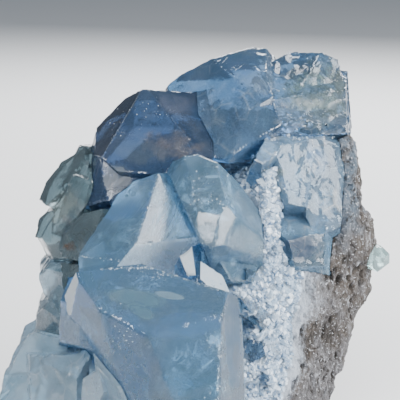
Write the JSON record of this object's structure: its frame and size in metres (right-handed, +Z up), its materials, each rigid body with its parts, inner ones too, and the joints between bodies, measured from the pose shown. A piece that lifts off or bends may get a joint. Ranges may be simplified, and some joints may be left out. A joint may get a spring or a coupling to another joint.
{
  "type": "celestite geode",
  "caption": "Broken piece of a celestite geode: large blue, blocky crystals on a white crystal crust over grey-brown rock, standing on a small flat spot.",
  "frame": {"origin": "bottom centre of the bounding box, on the plane of the flat resting spot", "axes": "+Z up, +X to the right and +Y away from the viewer when the crystal face looks at the viewer"},
  "size_m": [0.1055, 0.0866, 0.1099],
  "materials": {
    "front_celestite": "clear to cloudy blue crystal with frosted edges",
    "middle_celestite": "clear to cloudy blue crystal with pale striated faces",
    "upper_left_celestite": "dark, clear blue crystal",
    "top_celestite": "violet-blue crystal, whitish where it is broken",
    "right_celestite": "pale, fractured blue crystal",
    "left_celestite": "grey-green, cloudy blades",
    "left_small_celestite": "pale and dark blue crystal",
    "lower_left_celestite": "pale grey-blue, cloudy crystal",
    "edge_celestite": "greenish white, translucent crystal",
    "crust": "sugary, sparkling white to pale blue crystal crust",
    "matrix": "rough, fibrous and pitted grey-brown rock"
  },
  "bodies": {
    "root": {"front_crystals": "front_celestite", "middle_crystals": "middle_celestite", "upper_left_crystals": "upper_left_celestite", "top_crystals": "top_celestite", "right_crystals": "right_celestite", "left_crystals": "left_celestite", "left_small_crystals": "left_small_celestite", "lower_left_crystals": "lower_left_celestite", "edge_crystal": "edge_celestite", "celestite_crust": "crust", "matrix_rock": "matrix"}
  },
  "joints": []
}
